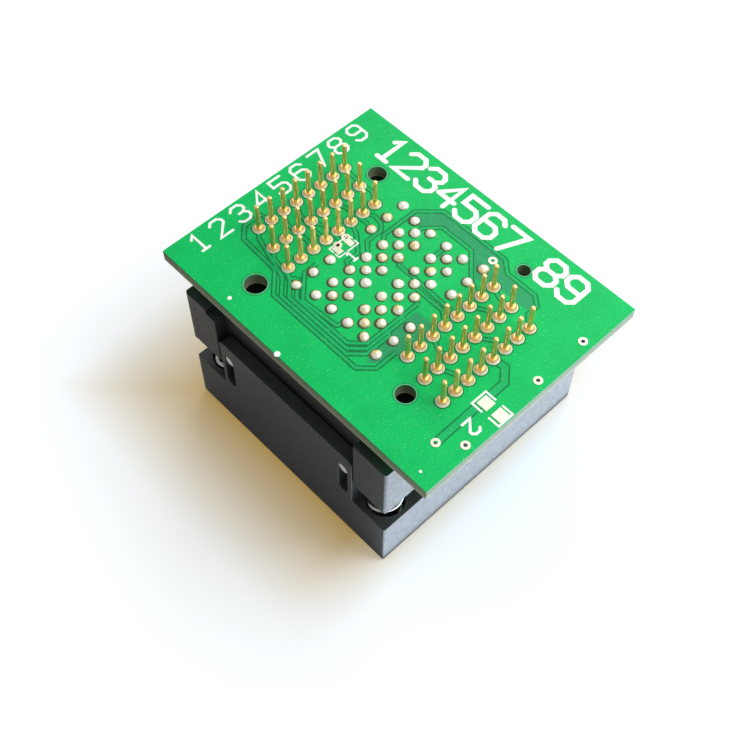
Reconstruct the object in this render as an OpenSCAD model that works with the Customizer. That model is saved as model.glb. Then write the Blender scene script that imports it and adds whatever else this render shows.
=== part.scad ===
// Open-top test socket on a pin adapter board, pins up, standing on its push cover.
// Millimetres. Origin on the socket axis, in the plane of the cover's flat face; +Z points to the pins.

/* [Socket body] */
// Width of the housing and the cover along X
body_x = 25.7; // [25.6:0.1:27]
// Width of the housing and the cover along Y
body_y = 25.9; // [25.8:0.1:27]
// Radius of the housing's upright corner edges
body_corner_r = 0.3; // [0.2:0.1:1]

/* [Cover] */
// Height of the cover's frame
cover_h = 6.3; // [5.8:0.1:7]
// How far the cover travels towards the board
travel = 3.2; // [2.8:0.1:3.4]
// Gap left between frame and housing when the cover is fully pressed
stop_gap = 0.1; // [0.05:0.05:0.3]
// Height of the raised side walls above the frame
side_wall_h = 6.85; // [6.3:0.05:6.9]
// Width of the raised side walls along X
side_wall_w = 17.4; // [17:0.1:17.5]
// Thickness of the raised side walls
side_wall_t = 1.25; // [1:0.05:1.4]
// Radius of the side walls' free corners
side_wall_r = 0.5; // [0.2:0.1:1]
// Width of the guide slots in the side walls
slot_w = 1.2; // [1.16:0.02:1.3]
// Gap past the shafts at each end of the guide slots
slot_end_gap = 0.05; // [0.02:0.01:0.08]
// Radius of the cover's upright corner edges
cover_corner_r = 0.15; // [0.1:0.05:0.8]
// Bevel along the cover's rim
cover_bevel = 0.25; // [0.1:0.05:0.4]
// Bevel round the cover's window
window_bevel = 0.8; // [0.2:0.1:1]
// Gap between the window and the seat
window_gap = 0.2; // [0.15:0.05:0.4]
// Depth of the cover's floor under the latch recesses
recess_floor = 2.4; // [1.6:0.1:2.6]
// Thickness of the cover's outer wall beside the latch recesses
recess_wall = 0.85; // [0.7:0.05:0.9]

/* [Drive posts] */
// Distance of the drive pin outside the latch shaft
drive_reach = 3.6; // [3.5:0.05:3.7]
// Radius of the drive pin
drive_pin_r = 0.4; // [0.35:0.01:0.44]
// Depth of the drive pins' ends below the posts' outer faces
pin_inset = 0.05; // [0.02:0.01:0.1]
// Thickness of each post along Y
post_t = 1.3; // [1:0.1:1.4]
// Half width of each post and radius of its round head
post_r = 0.8; // [0.7:0.05:0.85]
// Gap between the latch and each post
post_gap = 0.9; // [0.5:0.1:1]

/* [Housing] */
// Height of the housing
base_h = 6.9; // [6.9:0.1:8]
// Thickness of the housing's roof over the latch bay
roof_t = 2.4; // [2:0.1:2.5]
// Thickness of the lugs' wall towards the shafts
lug_wall_t = 0.2; // [0.1:0.05:0.4]
// Half length of the latch bay along Y
bay_half_y = 6.1; // [6:0.1:6.5]
// Gap between the housing and the sliding side walls
slide_gap = 0.1; // [0.05:0.05:0.2]
// Gap between a corner lug and the edge of a side wall
lug_gap = 0.2; // [0.1:0.05:0.3]
// Width of the index notch at the top inner corner of the left front lug
notch_w = 1.15; // [0.6:0.05:1.4]
// Depth of that notch
notch_h = 0.6; // [0.4:0.05:1.2]
// Thickness of the ribs that carry the shafts beside the latches
rib_t = 1.2; // [0.8:0.1:1.3]
// Width of those ribs outside the shaft axis
rib_out = 1.7; // [1.2:0.1:1.8]

/* [Shafts] */
// Distance of each latch shaft from the socket axis
shaft_x = 7.6; // [7.55:0.01:7.65]
// Height of the shafts above the lower face of the housing
shaft_rise = 1.2; // [1.1:0.05:1.4]
// Radius of the shafts
shaft_r = 0.55; // [0.5:0.01:0.56]
// Depth of the shaft ends behind the cover's side faces
shaft_end_gap = 0.1; // [0.05:0.05:0.4]
// Radial gap of the shafts in the housing
shaft_seat_gap = 0.01; // [0.01:0.01:0.05]
// Radial running gap of a latch on its shaft
latch_run_gap = 0.04; // [0.02:0.01:0.08]

/* [Latches] */
// Width of each latch along Y
latch_w = 7; // [6:0.1:7.2]
// Radius of the latch hub
hub_r = 1.2; // [1.1:0.05:1.25]
// Height of the latch pad below the shaft
pad_drop = 3.6; // [3.5:0.05:3.7]
// Reach of the latch nose inside the shaft
nose_reach = 2.3; // [1.8:0.1:2.4]
// Thickness of the latch nose
nose_t = 1.1; // [0.9:0.05:1.2]
// Bevel at the foot of the latch arm
nose_bevel = 0.3; // [0.1:0.05:0.4]
// Thickness of the latch arm
arm_t = 1.2; // [1:0.05:1.3]
// Distance of the arm's inner face inside the shaft axis
arm_in = 0.35; // [0.2:0.05:0.4]
// Thickness of each prong of the tail fork
prong_t = 0.6; // [0.5:0.05:0.65]
// Length of the tail from the shaft to the ends of its prongs
tail_len = 4.5; // [4.4:0.05:4.6]
// Gap between the drive pin and each prong
fork_gap = 0.07; // [0.06:0.01:0.1]

/* [Device and seat] */
// Length of the tested package along X
package_x = 14; // [13.9:0.05:14.05]
// Length of the tested package along Y
package_y = 18; // [17.8:0.05:18.05]
// Thickness of the tested package
package_t = 1.4; // [1.3:0.05:1.5]
// Gap round the package in its nest
nest_gap = 0.1; // [0.05:0.05:0.15]
// Thickness of the seat's side walls
seat_wall = 0.8; // [0.7:0.05:0.85]
// Lead-in bevel round the nest
nest_bevel = 0.45; // [0.2:0.05:0.6]
// Thickness of the seat's floor
seat_floor = 0.6; // [0.5:0.05:0.8]
// Height of the seat's side walls beside the package
seat_wall_h = 1.7; // [1.4:0.1:1.8]
// How far the seat floats towards the board
seat_travel = 0.4; // [0.3:0.05:0.45]
// Gap between seat and holder when the seat is pressed home
seat_stop_gap = 0.05; // [0.05:0.01:0.1]
// Distance of the guide pegs beyond the outer contacts
peg_out = 1.7; // [1.5:0.05:1.8]
// Radius of the seat's guide pegs
peg_r = 0.5; // [0.4:0.05:0.6]
// Length of the seat's guide pegs
peg_len = 2.5; // [1.5:0.1:3]
// Running gap round the guide pegs, and beside the retaining hooks
peg_gap = 0.05; // [0.03:0.01:0.1]
// Width of the seat's retaining hooks
hook_w = 3; // [2:0.1:4]
// Height of the seat's retaining hooks
hook_h = 3; // [2.4:0.1:3.6]
// Catch of the retaining hooks
hook_catch = 0.4; // [0.2:0.05:0.45]

/* [Contacts] */
// Grid on which the contacts stand
contact_pitch = 1; // [0.98:0.01:1]
// Radius of the contact barrels
barrel_r = 0.32; // [0.28:0.01:0.34]
// Radius of the contact plungers
plunger_r = 0.2; // [0.15:0.01:0.22]
// Length of the contact plungers
plunger_len = 3; // [2.6:0.1:3.4]
// How far the plunger tips stand into the nest
tip_proud = 0.2; // [0.1:0.05:0.25]
// Depth of the bore in each barrel
barrel_bore_depth = 4; // [3.4:0.1:5]
// Radius of the contact tails in the board
tail_r = 0.2; // [0.15:0.01:0.25]
// Gap round barrels and tails in their holes, and round the plungers
contact_gap = 0.03; // [0.02:0.01:0.04]
// Material of the holder beyond the outer contacts along X
holder_margin_x = 1.3; // [1.1:0.05:1.32]
// Material of the holder beyond the outer contacts along Y
holder_margin_y = 2.9; // [2.6:0.05:2.92]
// Height of the holder's flange
flange_h = 1; // [0.8:0.1:1.2]
// Width of the holder's flange beyond its sides along X
flange_x = 1; // [0.6:0.1:1.2]
// Width of the holder's flange beyond its sides along Y
flange_y = 0.5; // [0.3:0.1:0.7]
// Gap round the holder in the housing
holder_gap = 0.05; // [0.02:0.01:0.08]
// Thickness of the lead guide plate between housing and board
guide_t = 1.35; // [1:0.05:1.6]
// Gap between the lead guide plate and the solder round the inner pins
guide_gap = 0.1; // [0.05:0.05:0.3]

/* [Adapter board] */
// Length of the board along X
board_x = 32.8; // [32.4:0.1:34]
// Width of the board along Y
board_y = 25.4; // [25.2:0.1:27]
// Thickness of the board
board_t = 1.25; // [1:0.05:1.6]
// Offset of the board's centre from the socket axis along X
board_off_x = 0.5; // [0.3:0.1:0.6]
// Offset of the board's centre from the socket axis along Y
board_off_y = 0.15; // [0:0.05:0.2]
// Radius of the pair of round holes on the 24 mm circle
pair_hole_r = 0.9; // [0.7:0.05:1.1]
// Distance of the paired holes from the socket axis along X
pair_hole_x = 9.4; // [9.2:0.1:9.6]
// Distance of the paired holes from the socket axis along Y
pair_hole_y = 7.45; // [7.35:0.05:7.6]
// Radius of the large locating hole
large_hole_r = 1.05; // [0.8:0.05:1.1]
// Radius of the small locating hole
small_hole_r = 0.62; // [0.5:0.02:0.8]
// Distance of the two locating holes from the socket axis along X
locating_hole_x = 7.5; // [7.4:0.1:7.6]
// Distance of the two locating holes from the socket axis along Y
locating_hole_y = 9; // [8.9:0.1:9.3]
// Thickness of pads and rings on the board
pad_t = 0.05; // [0.03:0.01:0.08]
// Radius of the drilled vias
via_r = 0.18; // [0.12:0.01:0.2]
// Radius of the rings round the vias
via_ring_r = 0.42; // [0.3:0.01:0.45]
// Radius of the solder domes over the contact tails
dome_r = 0.5; // [0.45:0.01:0.52]
// Height of the solder domes
dome_h = 0.36; // [0.3:0.02:0.44]

/* [Header pins] */
// Pins in each row
pins_per_row = 8; // [4:1:8]
// Pitch of the pins along a row
pin_pitch = 1.5; // [1.45:0.01:1.5]
// Distance between neighbouring rows
row_pitch = 2.54; // [2.5:0.01:2.56]
// Distance of the inner rows from the socket axis
row_inner_x = 6.9; // [6.85:0.05:6.95]
// Shift of neighbouring rows along Y
row_stagger = 0.5; // [0.4:0.05:0.5]
// Height of the pins above the board
pin_h = 3.08; // [2.5:0.02:4]
// Radius of the pins
pin_r = 0.225; // [0.2:0.005:0.24]
// Length of the rounded tips
tip_len = 0.135; // [0.08:0.005:0.15]
// Radius of the collars on the board
collar_r = 0.47; // [0.45:0.01:0.5]
// Height of the collars
collar_h = 0.3; // [0.2:0.02:0.5]
// Chamfer of the collars' upper edge
collar_edge = 0.1; // [0.05:0.01:0.15]
// Length of the pin tails below the board
stub_len = 0.7; // [0.6:0.05:0.8]
// Radius of the pins' tails in the board
stub_r = 0.38; // [0.36:0.01:0.4]
// Radius of the pads round the pins
pin_pad_r = 0.6; // [0.56:0.01:0.72]
// Height of the solder cones round the tails
cone_h = 0.5; // [0.3:0.05:0.55]
// Gap round the tails in the board
pin_gap = 0.04; // [0.02:0.01:0.06]

/* [Springs] */
// Distance of the corner springs from the socket axis along X and Y
spring_at = 10.6; // [10.55:0.05:10.65]
// Outer radius of the corner springs
spring_r = 1.7; // [1.6:0.05:1.75]
// Radius of the corner springs' wire
spring_wire_r = 0.22; // [0.18:0.01:0.25]
// Turns of the corner springs
spring_turns = 6.5; // [5:0.5:7]
// Mean angle at which the wire of a corner spring starts
spring_start = 165; // [0:5:355]
// Change of that angle between the left and right springs, halved
spring_start_x = 20; // [0:5:90]
// Change of that angle between the rear and front springs, halved
spring_start_y = 45; // [0:5:90]
// Gap round the corner springs in their pockets
spring_gap = 0.15; // [0.1:0.05:0.2]
// Thickness of the cover under the spring pockets
spring_floor = 2; // [1.2:0.1:2.4]
// Thickness of the housing over the spring pockets
spring_roof = 1.5; // [1:0.1:2]
// Distance of the seat springs from the socket axis along X
seat_spring_x = 4.6; // [4.2:0.1:5]
// Distance of the seat springs beyond the outer contacts
seat_spring_out = 1.8; // [1.6:0.05:1.9]
// Outer radius of the seat springs
seat_spring_r = 0.7; // [0.6:0.05:0.72]
// Radius of the seat springs' wire
seat_spring_wire_r = 0.1; // [0.08:0.01:0.12]
// Turns of the seat springs
seat_spring_turns = 5; // [4:0.5:6]
// Depth of the seat spring pockets in the holder
seat_pocket = 2.4; // [2:0.1:3]
// Gap between a spring's ends and its seats
spring_end_gap = 0.02; // [0.01:0.01:0.05]

/* [Hidden] */

// Overlap of fused solids, reach of cutters past a face, and facets of round forms
eps = 0.01;
past = 1;
round_fn = 48;

// Heights of the stack, from the cover's face up to the pin tips
cover_wall_top = cover_h + side_wall_h;
base_z0 = cover_h + travel + stop_gap;
base_z1 = base_z0 + base_h;
bay_roof_z = base_z1 - roof_t;
shaft_z = base_z0 + shaft_rise;
pad_z = shaft_z - pad_drop;
nest_z = pad_z + package_t;
seat_z0 = nest_z - seat_wall_h;
seat_z1 = nest_z + seat_floor;
holder_z0 = seat_z1 + seat_travel + seat_stop_gap;
board_z0 = base_z1 + guide_t;
board_z1 = board_z0 + board_t;

// Plan sizes that follow from the package and the contacts
seat_half_x = package_x / 2 + nest_gap + seat_wall;
seat_half_y = package_y / 2 + nest_gap + seat_wall;
window_half_x = seat_half_x + window_gap;
window_half_y = seat_half_y + window_gap;
cavity_half_y = seat_half_y + slide_gap;
base_face_y = body_y / 2 - side_wall_t - slide_gap;
lug_in_x = side_wall_w / 2 + lug_gap;
contact_x_max = 5 * contact_pitch;
contact_y_max = 6.5 * contact_pitch;
holder_half_x = contact_x_max + holder_margin_x;
holder_half_y = contact_y_max + holder_margin_y;
spring_pocket_r = spring_r + spring_gap;

// The tail fork turns through equal angles below and above the horizontal
tail_angle = atan(travel / 2 / drive_reach);
drive_pin_z = shaft_z - travel / 2;
fork_half = drive_pin_r + fork_gap;

// Contacts stand on a square grid in three families of columns
contact_xy = contact_pitch * concat(
    [for (x = [-5, 5], y = [-6.5, -4.5, -2.5, 2.5, 4.5, 6.5]) [x, y]],
    [for (x = [-3, -1, 1, 3], y = [-6 : 2 : 6]) [x, y]],
    [for (x = [-2, 2], y = [-5, -3, -1, 1, 3, 5]) [x, y]]
);

// Rows of header pins: side, steps out from the inner row, and the shift along Y
left_rows = [[-1, 2, row_stagger], [-1, 1, 0], [-1, 0, -row_stagger]];
right_rows = [[1, 0, row_stagger], [1, 1, 0], [1, 2, -row_stagger]];
function row_pins(rows) = [
    for (row = rows, j = [0 : pins_per_row - 1])
        [row[0] * (row_inner_x + row[1] * row_pitch), (j - (pins_per_row - 1) / 2) * pin_pitch + row[2]]
];
left_pin_xy = row_pins(left_rows);
right_pin_xy = row_pins(right_rows);
pin_xy = concat(left_pin_xy, right_pin_xy);

// Vias and drilled pads: X, Y
via_xy = [[16, 7.05], [16, 1.4], [16.1, -7.35], [14.3, -8.9], [4.9, 7.8]];
pad_drill_xy = [[-5.9, 0.2], [-5.75, -0.92]];
// Component pads beside the right pins and beside the left pins: X, Y, width, depth
component_pad_xywd = [[14.55, -3.3, 1.1, 1.1], [16.15, -3.3, 1.1, 1.1]];
drilled_pad_xywd = [[-5.3, 0.05, 0.9, 0.6], [-5.35, -1.3, 0.9, 0.6]];
drilled_pad_r = 0.4;

spring_corners = [[1, 1], [-1, 1], [-1, -1], [1, -1]];
seat_spring_xy = [
    for (c = spring_corners) [c[0] * seat_spring_x, c[1] * (contact_y_max + seat_spring_out)]
];

// A box that is centred on the socket axis in plan
module slab(w, d, z0, z1) {
    translate([-w / 2, -d / 2, z0]) cube([w, d, z1 - z0]);
}

// A box given by its lowest corner and its highest corner
module span(a, b) {
    translate(a) cube(b - a);
}

// A slab with round upright edges
module rounded_slab(w, d, r, z0, z1) {
    translate([0, 0, z0]) linear_extrude(z1 - z0) {
        square([w - 2 * r, d], center = true);
        square([w, d - 2 * r], center = true);
        for (sx = [-1, 1], sy = [-1, 1])
            translate([sx * (w / 2 - r), sy * (d / 2 - r)]) circle(r, $fn = round_fn);
    }
}

// A round rod along +Z from z0 to z1
module rod(r, z0, z1) {
    translate([0, 0, z0]) cylinder(r = r, h = z1 - z0, $fn = round_fn);
}

// A round rod along Y, centred on the plane Y = 0
module cross_rod(r, len) {
    rotate([90, 0, 0]) cylinder(r = r, h = len, center = true, $fn = round_fn);
}

// Copies at a list of places in plan
module at_each(places) {
    for (p = places) translate([p[0], p[1], 0]) children();
}

// A mirrored pair of copies on either side of the plane X = 0
module both_x() {
    children();
    mirror([1, 0, 0]) children();
}

// A mirrored pair of copies on either side of the plane Y = 0
module both_y() {
    children();
    mirror([0, 1, 0]) children();
}

// Cutters for a bevel along the lower outer edges of a rectangular block that starts at height 0
module rim_bevel(w, d, c) {
    side = c * sqrt(2);
    for (s = [-1, 1]) {
        translate([s * w / 2, 0, 0]) rotate([0, 45, 0]) cube([side, d + 2 * past, side], center = true);
        translate([0, s * d / 2, 0]) rotate([45, 0, 0]) cube([w + 2 * past, side, side], center = true);
    }
}

// Cutter for a bevelled lead-in of depth c at the lower mouth z of a rectangular opening
module lead_in(w, d, c, z) {
    hull() {
        slab(w + 2 * c, d + 2 * c, z - eps, z);
        slab(w, d, z + c, z + c + eps);
    }
}

// A coil spring: a round wire of radius wire swept along a helix between two heights.
// The end turns lie closed, so the pitch grows from one wire thickness to the open pitch.
function coil_rise(t, turns, z0, z1, wire) =
    let (closed = 2.3 * wire / (z1 - z0 - 2 * wire))
    t < 1 ? t * closed
    : t > turns - 1 ? 1 - (turns - t) * closed
    : closed + (t - 1) / (turns - 2) * (1 - 2 * closed);

module coil_spring(r, wire, turns, z0, z1, steps, sides) {
    count = round(turns * steps);
    rings = [
        for (i = [0 : count])
            let (a = i * 360 / steps,
                 z = z0 + wire + coil_rise(i / steps, turns, z0, z1, wire) * (z1 - z0 - 2 * wire))
            for (k = [0 : sides - 1])
                let (b = k * 360 / sides, ring = r - wire + wire * cos(b))
                [ring * cos(a), ring * sin(a), z + wire * sin(b)]
    ];
    walls = [
        for (i = [0 : count - 1], k = [0 : sides - 1])
            let (n = (k + 1) % sides)
            [i * sides + k, (i + 1) * sides + k, (i + 1) * sides + n, i * sides + n]
    ];
    first = [for (k = [0 : sides - 1]) k];
    last = [for (k = [sides - 1 : -1 : 0]) count * sides + k];
    polyhedron(points = rings, faces = concat(walls, [first], [last]), convexity = 10);
}

module adapter_board() {
    color("seagreen") difference() {
        translate([board_off_x, board_off_y, 0]) slab(board_x, board_y, board_z0, board_z1);
        at_each(pin_xy) rod(stub_r + pin_gap, board_z0 - past, board_z1 + past);
        at_each(contact_xy) rod(tail_r + contact_gap, board_z0 - past, board_z1 + past);
        at_each(concat(via_xy, pad_drill_xy)) rod(via_r, board_z0 - past, board_z1 + past);
        for (s = [-1, 1]) {
            translate([s * pair_hole_x, -s * pair_hole_y, 0])
                rod(pair_hole_r, board_z0 - past, board_z1 + past);
            translate([s * locating_hole_x, s * locating_hole_y, 0])
                rod(s < 0 ? large_hole_r : small_hole_r, board_z0 - past, board_z1 + past);
        }
    }
}

// Tinned rings round the pins on the board's upper face
module pin_pads() {
    color("whitesmoke") at_each(pin_xy) difference() {
        rod(pin_pad_r, board_z1, board_z1 + pad_t);
        rod(stub_r + pin_gap, board_z1 - past, board_z1 + past);
    }
}

// Solder cones round the pin tails on the board's lower face
module pin_solder_joints() {
    color("silver") at_each(pin_xy) difference() {
        translate([0, 0, board_z0 - cone_h])
            cylinder(r1 = stub_r + 2 * pin_gap, r2 = pin_pad_r - pin_gap, h = cone_h, $fn = round_fn);
        rod(stub_r + pin_gap / 2, board_z0 - past, board_z0 + past);
    }
}

// One header pin: tail through the board, collar, shank and a rounded tip
module header_pin() {
    tail_z = -board_t - stub_len;
    tip_half = tip_len / 2;
    translate([0, 0, board_z1]) rotate_extrude($fn = round_fn) polygon([
        [0, tail_z], [stub_r - tip_half, tail_z], [stub_r, tail_z + tip_half],
        [stub_r, pad_t], [collar_r, pad_t], [collar_r, pad_t + collar_h - collar_edge],
        [collar_r - collar_edge, pad_t + collar_h], [pin_r, pad_t + collar_h],
        [pin_r, pin_h - tip_len], [pin_r - tip_len / 4, pin_h - tip_len / 3],
        [pin_r - 3 * tip_len / 4, pin_h], [0, pin_h]
    ]);
}

module header_pins_left() {
    color("gold") at_each(left_pin_xy) header_pin();
}

module header_pins_right() {
    color("gold") at_each(right_pin_xy) header_pin();
}

// Solder domes over the contact tails
module contact_solder_joints() {
    ball_r = (dome_r * dome_r + dome_h * dome_h) / (2 * dome_h);
    color("gainsboro") at_each(contact_xy) translate([0, 0, board_z1]) intersection() {
        translate([0, 0, dome_h - ball_r]) sphere(ball_r, $fn = round_fn);
        rod(dome_r + past, 0, dome_h + past);
    }
}

// Bare tinned pads for capacitors that aren't fitted
module component_pads() {
    color("whitesmoke") {
        for (p = component_pad_xywd)
            translate([p[0], p[1], 0]) slab(p[2], p[3], board_z1, board_z1 + pad_t);
        for (i = [0 : len(drilled_pad_xywd) - 1]) {
            p = drilled_pad_xywd[i];
            hole = pad_drill_xy[i];
            difference() {
                union() {
                    translate([p[0], p[1], 0]) slab(p[2], p[3], board_z1, board_z1 + pad_t);
                    translate([hole[0], hole[1], 0]) rod(drilled_pad_r, board_z1, board_z1 + pad_t);
                }
                translate([hole[0], hole[1], 0]) rod(via_r, board_z1 - past, board_z1 + past);
            }
        }
    }
}

// Plated rings round the vias
module via_rings() {
    color("whitesmoke") at_each(via_xy) difference() {
        rod(via_ring_r, board_z1, board_z1 + pad_t);
        rod(via_r, board_z1 - past, board_z1 + past);
    }
}

// Plate that lines up the contact tails and spaces the board from the housing
module lead_guide() {
    color("dimgray") difference() {
        slab(2 * (row_inner_x - pin_pad_r - guide_gap), 2 * (holder_half_y + flange_y), base_z1, board_z0);
        at_each(contact_xy) rod(tail_r + contact_gap, base_z1 - past, board_z0 + past);
    }
}

module base_housing() {
    color("#202224") difference() {
        union() {
            difference() {
                rounded_slab(body_x, body_y, body_corner_r, base_z0, base_z1);
                // Recess for each sliding side wall of the cover
                both_y() span([-lug_in_x, base_face_y, base_z0 - past], [lug_in_x, body_y, base_z1 + past]);
                // Cavity for holder, shafts and seat, and the latch bay across it
                slab(2 * (lug_in_x - lug_wall_t), 2 * cavity_half_y, base_z0 - past, bay_roof_z);
                slab(body_x + 2 * past, 2 * bay_half_y, base_z0 - past, bay_roof_z);
            }
            // Ribs that carry the shafts on both sides of each latch
            both_x() both_y() span(
                [shaft_x - hub_r, latch_w / 2 + slide_gap, base_z0 + slide_gap],
                [shaft_x + rib_out, latch_w / 2 + slide_gap + rib_t, bay_roof_z + eps]);
        }
        // Opening and rebate for the contact holder
        slab(2 * (holder_half_x + holder_gap), 2 * (holder_half_y + holder_gap), base_z0, base_z1 + past);
        slab(2 * (holder_half_x + flange_x + holder_gap), 2 * (holder_half_y + flange_y + holder_gap),
            base_z1 - flange_h, base_z1 + past);
        // Shaft bores
        both_x() translate([shaft_x, 0, shaft_z]) cross_rod(shaft_r + shaft_seat_gap, body_y + 2 * past);
        // Blind pockets for the corner springs
        at_each(spring_corners * spring_at) rod(spring_pocket_r, base_z0 - past, base_z1 - spring_roof);
        // Index notch at the top inner corner of the left front lug
        span([-lug_in_x - notch_w, -body_y, base_z1 - notch_h],
            [-lug_in_x + eps, -base_face_y, base_z1 + past]);
    }
}

module contact_holder() {
    catch_z0 = seat_z1 + hook_h - hook_catch - peg_gap;
    color("#2a2c2e") difference() {
        union() {
            slab(2 * holder_half_x, 2 * holder_half_y, holder_z0, base_z1);
            slab(2 * (holder_half_x + flange_x), 2 * (holder_half_y + flange_y),
                base_z1 - flange_h, base_z1);
        }
        at_each(contact_xy) rod(barrel_r + contact_gap, holder_z0 - past, base_z1 + past);
        // Pockets for the seat springs and bores for the seat's guide pegs
        at_each(seat_spring_xy) rod(seat_spring_r + peg_gap, holder_z0 - past, holder_z0 + seat_pocket);
        both_y() translate([0, contact_y_max + peg_out, 0])
            rod(peg_r + peg_gap, holder_z0 - past, seat_z1 + peg_len + seat_travel + peg_gap);
        // Windows in which the seat's hooks float
        both_y() span(
            [-hook_w / 2 - peg_gap, holder_half_y - hook_catch - peg_gap, catch_z0],
            [hook_w / 2 + peg_gap, holder_half_y + past, catch_z0 + 2 * hook_catch + seat_travel]);
    }
}

// Contact barrels with their solder tails
module contact_barrels() {
    color("goldenrod") at_each(contact_xy) difference() {
        union() {
            rod(barrel_r, holder_z0, base_z1);
            rod(tail_r, base_z1 - eps, board_z1);
        }
        rod(plunger_r + contact_gap, holder_z0 - past, holder_z0 + barrel_bore_depth);
    }
}

// Contact plungers with crown tips
module contact_plungers() {
    tip_z = nest_z - tip_proud;
    color("gold") at_each(contact_xy) translate([0, 0, tip_z]) rotate_extrude($fn = round_fn)
        polygon([
            [0, plunger_r], [plunger_r * 0.75, 0], [plunger_r, plunger_r * 0.5],
            [plunger_r, plunger_len], [0, plunger_len]
        ]);
}

// Floating nest that locates the package over the contacts
module ic_seat() {
    notch_y = latch_w / 2 + 2 * slide_gap + peg_gap;
    color("#34373a") {
        difference() {
            slab(2 * seat_half_x, 2 * seat_half_y, seat_z0, seat_z1);
            slab(package_x + 2 * nest_gap, package_y + 2 * nest_gap, seat_z0 - past, nest_z);
            at_each(contact_xy) rod(plunger_r + 2 * contact_gap, nest_z - past, seat_z1 + past);
            // Notches for the latch arms
            both_x() span([package_x / 2 + nest_gap, -notch_y, seat_z0 - past],
                [seat_half_x + past, notch_y, seat_z1 + past]);
            lead_in(package_x + 2 * nest_gap, package_y + 2 * nest_gap, nest_bevel, seat_z0);
        }
        both_y() translate([0, contact_y_max + peg_out, 0]) rod(peg_r, seat_z1 - eps, seat_z1 + peg_len);
        // Retaining hooks
        both_y() {
            span([-hook_w / 2, holder_half_y + peg_gap, seat_z1 - eps],
                [hook_w / 2, seat_half_y, seat_z1 + hook_h]);
            span([-hook_w / 2, holder_half_y - hook_catch, seat_z1 + hook_h - hook_catch],
                [hook_w / 2, holder_half_y + peg_gap + eps, seat_z1 + hook_h]);
        }
    }
}

module seat_springs() {
    color("silver") at_each(seat_spring_xy) coil_spring(seat_spring_r, seat_spring_wire_r,
        seat_spring_turns, seat_z1 + spring_end_gap, holder_z0 + seat_pocket - spring_end_gap, 12, 5);
}

module latch_shaft() {
    len = body_y - 2 * shaft_end_gap;
    translate([shaft_x, 0, shaft_z]) cross_rod(shaft_r, len);
}

module shaft_left() {
    color("lightgray") mirror([1, 0, 0]) latch_shaft();
}

module shaft_right() {
    color("lightgray") latch_shaft();
}

module corner_spring(i) {
    corner = spring_corners[i];
    start = spring_start - corner[0] * spring_start_x + corner[1] * spring_start_y;
    color("lightgray") translate([corner[0] * spring_at, corner[1] * spring_at, 0])
        rotate(start) coil_spring(spring_r, spring_wire_r, spring_turns,
            spring_floor + spring_end_gap, base_z1 - spring_roof - spring_end_gap, 16, 6);
}

module corner_spring_1() { corner_spring(0); }
module corner_spring_2() { corner_spring(1); }
module corner_spring_3() { corner_spring(2); }
module corner_spring_4() { corner_spring(3); }

// Raised side wall with its two guide slots
module side_wall() {
    slot_top = shaft_z + slot_end_gap;
    slot_low = shaft_z - travel - slot_end_gap;
    translate([0, body_y / 2, 0]) rotate([90, 0, 0]) linear_extrude(side_wall_t) difference() {
        union() {
            translate([-side_wall_w / 2, cover_h - past])
                square([side_wall_w, side_wall_h + past - side_wall_r]);
            translate([-side_wall_w / 2 + side_wall_r, cover_h])
                square([side_wall_w - 2 * side_wall_r, side_wall_h]);
            for (s = [-1, 1])
                translate([s * (side_wall_w / 2 - side_wall_r), cover_wall_top - side_wall_r])
                    circle(side_wall_r, $fn = round_fn);
        }
        for (s = [-1, 1]) {
            translate([s * shaft_x - slot_w / 2, slot_low]) square([slot_w, slot_top - slot_low]);
            for (z = [slot_low, slot_top]) translate([s * shaft_x, z]) circle(slot_w / 2, $fn = round_fn);
        }
    }
}

// Post that carries one end of a drive pin
module drive_post() {
    y0 = latch_w / 2 + post_gap;
    difference() {
        union() {
            span([shaft_x + drive_reach - post_r, y0, cover_h - past],
                [shaft_x + drive_reach + post_r, y0 + post_t, drive_pin_z]);
            translate([shaft_x + drive_reach, y0 + post_t / 2, drive_pin_z]) cross_rod(post_r, post_t);
        }
        translate([shaft_x + drive_reach, 0, drive_pin_z]) cross_rod(drive_pin_r + shaft_seat_gap, 4 * y0);
    }
}

module cover_frame() {
    recess_y = latch_w / 2 + 3 * slide_gap;
    color("#2b2d30") {
        difference() {
            rounded_slab(body_x, body_y, cover_corner_r, 0, cover_h);
            slab(2 * window_half_x, 2 * window_half_y, -past, cover_h + past);
            rim_bevel(body_x, body_y, cover_bevel);
            lead_in(2 * window_half_x, 2 * window_half_y, window_bevel, 0);
            // Recesses into which the latches swing
            both_x() span([window_half_x - past, -recess_y, recess_floor],
                [body_x / 2 - recess_wall, recess_y, cover_h + past]);
            at_each(spring_corners * spring_at) rod(spring_pocket_r, spring_floor, cover_h + past);
        }
        both_y() side_wall();
        both_x() both_y() drive_post();
    }
}

module drive_pin() {
    y0 = latch_w / 2 + post_gap;
    translate([shaft_x + drive_reach, 0, drive_pin_z]) cross_rod(drive_pin_r, 2 * (y0 + post_t - pin_inset));
}

module drive_pin_left() {
    color("lightgray") mirror([1, 0, 0]) drive_pin();
}

module drive_pin_right() {
    color("lightgray") drive_pin();
}

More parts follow.
